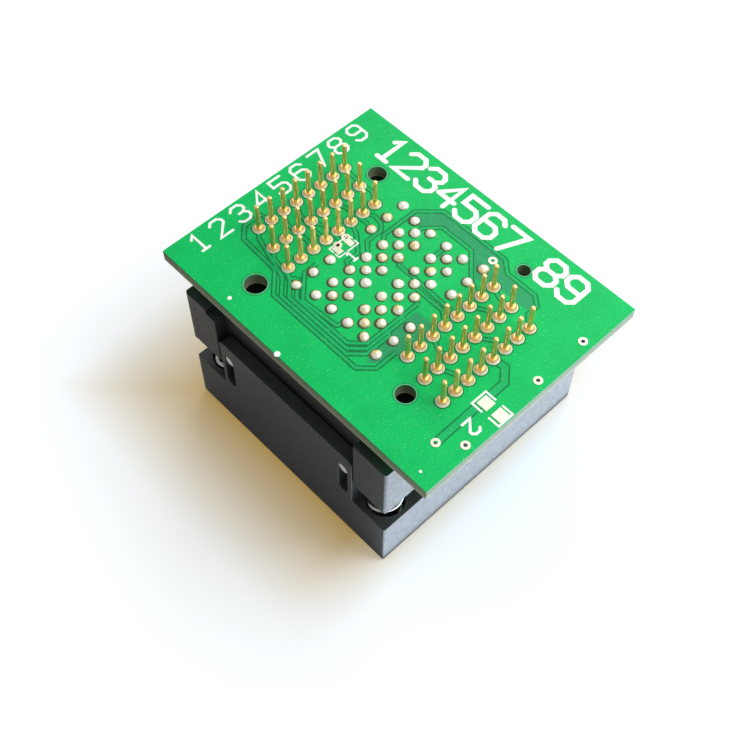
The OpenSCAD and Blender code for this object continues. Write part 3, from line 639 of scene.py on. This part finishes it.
# The large digits run along +X, the small ones along +Y: first place, step, height and half stroke
LARGE_FIRST, LARGE_STEP, LARGE_HEIGHT, LARGE_HALF = (-10.5, 10.5), 2.5, 2.9, 0.24
SMALL_FIRST, SMALL_STEP, SMALL_HEIGHT, SMALL_HALF = (-14.45, -9.6), 2.4, 2.0, 0.13
# The large digits after the seventh stand further on, past the small board hole
DIGITS_BEFORE_HOLE = 7
HOLE_SKIP = 2.3
# Inspection dots: (x, y, radius)
DOTS = [(-7.9, -11.6, 0.2), (-0.75, -12.45, 0.28), (15.3, -11.6, 0.13)]


def add_print():
    """White print: plain digits, brackets round the component pads, and dots."""
    bm = bmesh.new()
    for i, digit in enumerate(DIGITS):
        skip = HOLE_SKIP if i >= DIGITS_BEFORE_HOLE else 0
        printed_digit(bm, digit, LARGE_FIRST[0] + LARGE_STEP * i + skip, LARGE_FIRST[1], LARGE_HEIGHT,
                      LARGE_HALF)
        printed_digit(bm, digit, SMALL_FIRST[0], SMALL_FIRST[1] + SMALL_STEP * i, SMALL_HEIGHT,
                      SMALL_HALF, 90)
    printed_box(bm, 13.75, -4.15, 16.75, -2.5, 0.35)
    printed_digit(bm, "2", 15.3, -5.75, 1.35, 0.12, -90)
    printed_box(bm, -5.95, -1.75, -4.65, 0.55, 0.1, 0.06)
    printed_digit(bm, "1", -4.05, -0.85, 1.1, 0.1, 90)
    for x, y, r in DOTS:
        prism(bm, disc_outline(x, y, r, 20), BOARD_TOP, BOARD_TOP + SILK_TOP)
    make_piece("board_print", bm, "silk", "base")


# ---------------------------------------------------------------- mouldings

EASED_WIDTH = 0.1 * MM
SHORTEST_EASED = 0.8 * MM
SHARP_ANGLE = math.radians(35)
FLAT_ANGLE = math.radians(0.6)


def softened(node, look, body):
    """A copy of a CAD moulding whose long sharp edges are eased, as a mould leaves them."""
    bm = bmesh.new()
    bm.from_mesh(nodes[node].data)
    bmesh.ops.remove_doubles(bm, verts=bm.verts, dist=1e-7)
    bmesh.ops.dissolve_limit(bm, angle_limit=FLAT_ANGLE, verts=bm.verts, edges=bm.edges)
    weight = bm.edges.layers.float.new("bevel_weight_edge")
    for edge in bm.edges:
        if len(edge.link_faces) != 2 or edge.calc_length() < SHORTEST_EASED:
            continue
        if edge.calc_face_angle(0) > SHARP_ANGLE:
            edge[weight] = 1.0
    mesh = bpy.data.meshes.new(node + "_moulding")
    bm.to_mesh(mesh)
    bm.free()
    if "custom_normal" in mesh.attributes:
        mesh.attributes.remove(mesh.attributes["custom_normal"])
    piece = make_piece(node + "_moulding", mesh, look, body, 30, [node])
    bevel = piece.modifiers.new("eased_edges", "BEVEL")
    bevel.limit_method = "WEIGHT"
    bevel.width = EASED_WIDTH
    bevel.segments = 2
    bevel.use_clamp_overlap = False
    bevel.harden_normals = True


# ---------------------------------------------------------------- springs

# Corners of the socket that hold a spring, as signs of x and y
CORNERS = [(1, 1), (-1, 1), (-1, -1), (1, -1)]
# Rise of a coil's end turn, in wire radii
CLOSED_PITCH = 2.3
CORNER_SPRING_AT = 10.6 * MM
CORNER_SPRING_R = 1.7 * MM
CORNER_WIRE_R = 0.22 * MM
CORNER_TURNS = 6.5
# Where a corner spring's wire starts: an angle that differs from corner to corner
START_DEG, START_DEG_X, START_DEG_Y = 165, 20, 45
SEAT_SPRING_AT = (4.6 * MM, 8.3 * MM)
SEAT_SPRING_R = 0.7 * MM
SEAT_WIRE_R = 0.1 * MM
SEAT_TURNS = 5

def coil_rise(t, turns, closed):
    """Height, from 0 to 1, after t turns of a coil; each end turn rises by the share closed."""
    if t < 1:
        return t * closed
    if t > turns - 1:
        return 1 - (turns - t) * closed
    return closed + (t - 1) / (turns - 2) * (1 - 2 * closed)


def coil(bm, centre, radius, wire, turns, z0, z1, start_deg, steps=56, sides=12):
    """A round wire swept along a helix with closed end turns. Sizes in metres."""
    closed = CLOSED_PITCH * wire / (z1 - z0 - 2 * wire)
    rings = []
    count = round(turns * steps)
    for i in range(count + 1):
        a = math.radians(start_deg) + 2 * math.pi * i / steps
        z = z0 + wire + coil_rise(i / steps, turns, closed) * (z1 - z0 - 2 * wire)
        ring = []
        for k in range(sides):
            b = 2 * math.pi * k / sides
            out = radius - wire + wire * math.cos(b)
            ring.append(bm.verts.new((centre[0] + out * math.cos(a), centre[1] + out * math.sin(a),
                                      z + wire * math.sin(b))))
        rings.append(ring)
    for first, second in zip(rings, rings[1:]):
        for k in range(sides):
            n = (k + 1) % sides
            bm.faces.new((first[k], second[k], second[n], first[n]))
    bm.faces.new(rings[0])
    bm.faces.new(rings[-1][::-1])


def shorten(piece):
    """Gives the coil a mesh of its own."""
    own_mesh(piece)


def add_springs():
    for i, (sx, sy) in enumerate(CORNERS):
        node = f"corner_spring_{i + 1}"
        lo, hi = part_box(node)
        centre = (sx * CORNER_SPRING_AT, sy * CORNER_SPRING_AT)
        start_deg = sy * START_DEG_Y - sx * START_DEG_X + START_DEG
        bm = bmesh.new()
        coil(bm, centre, CORNER_SPRING_R, CORNER_WIRE_R, CORNER_TURNS, lo.z, hi.z, start_deg)
        piece = make_piece(f"spring_coil_{i + 1}", bm, "spring", "base", 60, [node])
        shorten(piece)
    lo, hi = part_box("seat_springs")
    bm = bmesh.new()
    for sx, sy in CORNERS:
        centre = (sx * SEAT_SPRING_AT[0], sy * SEAT_SPRING_AT[1])
        coil(bm, centre, SEAT_SPRING_R, SEAT_WIRE_R, SEAT_TURNS, lo.z, hi.z, 0, 36, 8)
    piece = make_piece("seat_coils", bm, "spring", "base", 60, ["seat_springs"])
    shorten(piece)


# ---------------------------------------------------------------- stage, light and camera

def unlit_glow(tree, strength):
    """An emission seen only directly or through something clear, so that it lights nothing."""
    path = tree.nodes.new("ShaderNodeLightPath")
    seen = tree.nodes.new("ShaderNodeMath")
    seen.operation = "MAXIMUM"
    tree.links.new(path.outputs["Is Camera Ray"], seen.inputs[0])
    tree.links.new(path.outputs["Is Transmission Ray"], seen.inputs[1])
    scale = tree.nodes.new("ShaderNodeMath")
    scale.operation = "MULTIPLY"
    scale.inputs[1].default_value = strength
    tree.links.new(seen.outputs[0], scale.inputs[0])
    glow = tree.nodes.new("ShaderNodeEmission")
    tree.links.new(scale.outputs[0], glow.inputs["Strength"])
    return glow


# The floor does not glow inside the part's footprint; its edge is blurred between these distances from
# the middle, along X or Y
FOOT_EDGE = (12.2 * MM, 12.9 * MM)
# A warm shadow is painted on the floor: it starts at the footprint and fades out by this distance, and
# towards +X between these two
SHADE_END = 24 * MM
SHADE_X = (9 * MM, 15 * MM)
PAINTED_SHADE_GLOW = (0.25, 0.14, 0.0)
# The floor's colour for lamps and bounces, seen directly, and seen directly in the painted shadow
FLOOR_LIT = (0.62, 0.6, 0.57)
FLOOR_SEEN = (0.56, 0.63, 0.77)
FLOOR_SEEN_PAINTED_SHADE = (0.54, 0.5, 0.38)
# The glow's colour changes with the distance from a centre behind the part, as a share of its reach: dimmer
# and tan round the part, as a painted shadow, paler and neutral further out
GLOW_CENTRE = (30 * MM, 20 * MM, 0)
GLOW_REACH = 400 * MM
GLOW_STOPS = [(0.05, (0.36, 0.35, 0.33)), (0.095, (0.45, 0.41, 0.33)), (0.145, (0.47, 0.44, 0.34)),
              (0.21, (0.54, 0.52, 0.47)), (1.0, (0.74, 0.71, 0.64))]


def floor_zones(look):
    """Two shares over the floor: 1 outside the part's footprint, and 1 where the shadow on its left is
    painted.
    """
    sides = look.add("ShaderNodeVectorMath", operation="ABSOLUTE")
    look.link(look.place, sides.inputs[0])
    axes = look.axes(sides.outputs[0])
    furthest = look.combined("MAXIMUM", axes["X"], axes["Y"])
    outside = look.span(furthest, 0, 1, *FOOT_EDGE)
    near = look.span(furthest, 1, 0, FOOT_EDGE[1], SHADE_END)
    left = look.span(look.axes(look.place)["X"], 1, 0, *SHADE_X)
    return outside, look.combined("MULTIPLY", near, left)


def floor_look():
    """Pale matt floor. Seen directly it also glows, with a painted warm shadow by the part, and neutral
    away from it.
    """
    look = Look("pale_floor")
    tree = look.tree
    tree.nodes.remove(look.shader)
    outside, painted_shade = floor_zones(look)
    diffuse = look.add("ShaderNodeBsdfDiffuse")
    camera_ray = look.add("ShaderNodeLightPath").outputs["Is Camera Ray"]
    # Seen directly, the floor's colour is painted warmer and darker in the shadow by the part
    seen = look.mixed(painted_shade, FLOOR_SEEN, FLOOR_SEEN_PAINTED_SHADE)
    look.link(look.mixed(camera_ray, FLOOR_LIT, seen), diffuse.inputs["Color"])

    offset = look.add("ShaderNodeVectorMath", operation="DISTANCE")
    look.link(look.place, offset.inputs[0])
    offset.inputs[1].default_value = GLOW_CENTRE
    # A painted tan shadow round the part, in the glow's colour
    glow_with_painted_shadow = look.ramp(look.span(offset.outputs["Value"], 0, 1, 0, GLOW_REACH), *GLOW_STOPS)
    glow = unlit_glow(tree, 1.0)
    # The glow is off under the part, and on its left takes the painted shadow's colour
    glow_colour = look.mixed(outside, (0.0, 0.0, 0.0), look.mixed(painted_shade, glow_with_painted_shadow, PAINTED_SHADE_GLOW))
    look.link(glow_colour, glow.inputs["Color"])

    total = look.add("ShaderNodeAddShader")
    look.link(diffuse.outputs[0], total.inputs[0])
    look.link(glow.outputs[0], total.inputs[1])
    look.link(total.outputs[0], tree.nodes["Material Output"].inputs["Surface"])
    return look.material


FLOOR_HALF = 3.0
FLOOR_DROP = 0.02 * MM


def add_floor():
    mesh = bpy.data.meshes.new("floor")
    corners = [(sx * FLOOR_HALF, sy * FLOOR_HALF, 0) for sx, sy in ((-1, -1), (1, -1), (1, 1), (-1, 1))]
    mesh.from_pydata(corners, [], [(0, 1, 2, 3)])
    floor = bpy.data.objects.new("floor", mesh)
    floor.location.z = -FLOOR_DROP
    bpy.context.scene.collection.objects.link(floor)
    mesh.materials.append(floor_look())


WORLD_COLOUR = (1.0, 0.99, 0.97)
WORLD_LIGHT = 0.44
WORLD_GLOW = 0.52


def add_world():
    """Soft light from all round, which looks brighter to the camera than it is."""
    world = bpy.data.worlds.new("studio")
    world.use_nodes = True
    bpy.context.scene.world = world
    tree = world.node_tree
    background = tree.nodes["Background"]
    background.inputs["Color"].default_value = (*WORLD_COLOUR, 1)
    background.inputs["Strength"].default_value = WORLD_LIGHT
    output = tree.nodes["World Output"]
    total = tree.nodes.new("ShaderNodeAddShader")
    tree.links.new(background.outputs[0], total.inputs[0])
    tree.links.new(unlit_glow(tree, WORLD_GLOW).outputs[0], total.inputs[1])
    tree.links.new(total.outputs[0], output.inputs["Surface"])


# Name, place, what it faces, size (a disc's width, or a card's sides), power in watts, colour. The bounce
# card lies on the floor on the part's right and throws cool light up at its side.
LAMPS = [
    ("key", (0.065, 0.06, 0.145), (0, 0, 0.01), 0.11, 0.2, (1, 1, 1)),
    ("back_card", (-0.1, 0.33, 0.32), (0, 0, 0.02), (0.4, 0.28), 0.7, (1, 1, 1)),
    ("bounce_card", (0.0381, 0.008, 0.0002), (0.0381, 0.008, 1), (0.05, 0.06), 0.036, (0.72, 0.85, 1.0)),
]


def add_lamp(name, place, target, size, power, colour):
    lamp = bpy.data.lights.new(name, "AREA")
    lamp.shape = "RECTANGLE" if isinstance(size, tuple) else "DISK"
    lamp.size, lamp.size_y = size if isinstance(size, tuple) else (size, size)
    lamp.energy = power
    lamp.color = colour
    light = bpy.data.objects.new(name, lamp)
    light.location = place
    light.rotation_euler = (Vector(target) - Vector(place)).to_track_quat("-Z", "Y").to_euler()
    light.visible_camera = False
    bpy.context.scene.collection.objects.link(light)


# The camera that a fit to the photo's solder grid and pin rows gives
CAMERA_PLACE = (0.0439873, -0.0451898, 0.1021462)
CAMERA_TURN_DEG = (32.51014, -0.53856, 46.16118)
CAMERA_LENS_MM = 57.2886


def add_camera():
    camera = bpy.data.cameras.new("camera")
    camera.lens = CAMERA_LENS_MM
    camera.sensor_width = 36
    camera.clip_start = 0.005
    camera.clip_end = 20
    holder = bpy.data.objects.new("camera", camera)
    holder.location = CAMERA_PLACE
    holder.rotation_euler = Euler([math.radians(turn) for turn in CAMERA_TURN_DEG], "XYZ")
    bpy.context.scene.collection.objects.link(holder)
    bpy.context.scene.camera = holder


# ---------------------------------------------------------------- the whole part

# CAD nodes that stay in the scene, by the look that they get
DRESSED = {
    "tin": ["pin_pads"],
    "solder": ["pin_solder_joints"],
    "gold": ["header_pins_left", "header_pins_right"],
    "pads": ["component_pads", "via_rings"],
    "holder": ["lead_guide", "contact_holder", "ic_seat"],
    "contact": ["contact_barrels", "contact_plungers"],
    "steel": ["shaft_left", "shaft_right", "drive_pin_left", "drive_pin_right"],
    "latch": ["latch_left", "latch_right"],
}

dress_board()
for look, dressed in DRESSED.items():
    for node in dressed:
        dress(node, look)
add_traces()
add_hole_rims()
add_flux_rings()
add_contact_joints()
add_pin_fillets()
add_print()
softened("base_housing", "housing", "base")
softened("cover_frame", "cover", "cover")
add_springs()

add_floor()
add_world()
for lamp in LAMPS:
    add_lamp(*lamp)
add_camera()
bpy.context.scene.view_settings.view_transform = "Standard"
